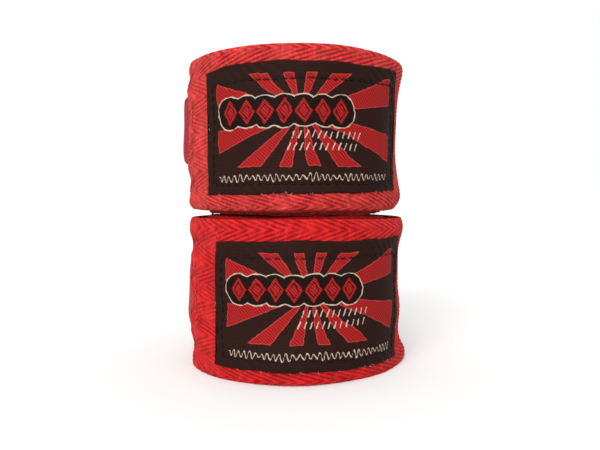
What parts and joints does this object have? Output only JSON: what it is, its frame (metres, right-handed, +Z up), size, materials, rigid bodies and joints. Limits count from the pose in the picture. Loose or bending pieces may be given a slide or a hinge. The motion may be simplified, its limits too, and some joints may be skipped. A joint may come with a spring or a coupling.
{
  "type": "hand wrap",
  "caption": "Rolled cotton hand wraps for boxing, stacked as a pair, each with a thumb loop in its core and a woven label and hook-tape strap at its free end.",
  "frame": {"origin": "middle of the pair's footprint, on the surface that the lower roll stands on; the rolls' own axis lies at x 1.0 mm, y 0.9 mm, because the straps stand out on one side only", "axes": "+Z up along the rolls' axes, -Y towards the front, where the labels face, +X to the right as seen from the front"},
  "size_m": [0.0758, 0.0752, 0.1027],
  "materials": {
    "cotton_band": "matte",
    "label_satin": "satin",
    "black_thread": "satin",
    "red_thread": "satin",
    "hook_tape": "satin",
    "loop_pile": "matte",
    "cotton_tape": "matte"
  },
  "bodies": {
    "lower_roll": {"lower_wound_band": "cotton_band", "lower_loop_patch": "loop_pile", "lower_loop_patch_stitching": "red_thread", "lower_thumb_loop": "cotton_tape", "lower_thumb_loop_bartack": "red_thread"},
    "lower_tail": {"lower_band_tail": "cotton_band", "lower_label": "label_satin", "lower_label_stitching": "black_thread"},
    "lower_tab": {"lower_band_end": "cotton_band", "lower_hook_strap": "hook_tape", "lower_strap_stitching": "red_thread"},
    "upper_roll": {"upper_wound_band": "cotton_band", "upper_loop_patch": "loop_pile", "upper_loop_patch_stitching": "red_thread", "upper_thumb_loop": "cotton_tape", "upper_thumb_loop_bartack": "red_thread"},
    "upper_tail": {"upper_band_tail": "cotton_band", "upper_label": "label_satin", "upper_label_stitching": "black_thread"},
    "upper_tab": {"upper_band_end": "cotton_band", "upper_hook_strap": "hook_tape", "upper_strap_stitching": "red_thread"}
  },
  "joints": [
    {"name": "upper_lift", "type": "slide", "parent": "lower_roll", "child": "upper_roll", "axis": [0, 0, 1], "range_m": [0, 0.1]},
    {"name": "lower_tail_swing", "type": "hinge", "parent": "lower_roll", "child": "lower_tail", "pos_m": [0.03574, -0.01193, 0.025], "axis": [0, 0, 1], "range_deg": [0, 90]},
    {"name": "lower_tab_peel", "type": "hinge", "parent": "lower_tail", "child": "lower_tab", "pos_m": [-0.02523, -0.02562, 0.025], "axis": [0, 0, 1], "range_deg": [0, 110]},
    {"name": "upper_tail_swing", "type": "hinge", "parent": "upper_roll", "child": "upper_tail", "pos_m": [0.03463, -0.01462, 0.0777], "axis": [0, 0, 1], "range_deg": [0, 90]},
    {"name": "upper_tab_peel", "type": "hinge", "parent": "upper_tail", "child": "upper_tab", "pos_m": [-0.02723, -0.02347, 0.0777], "axis": [0, 0, 1], "range_deg": [0, 110]}
  ]
}
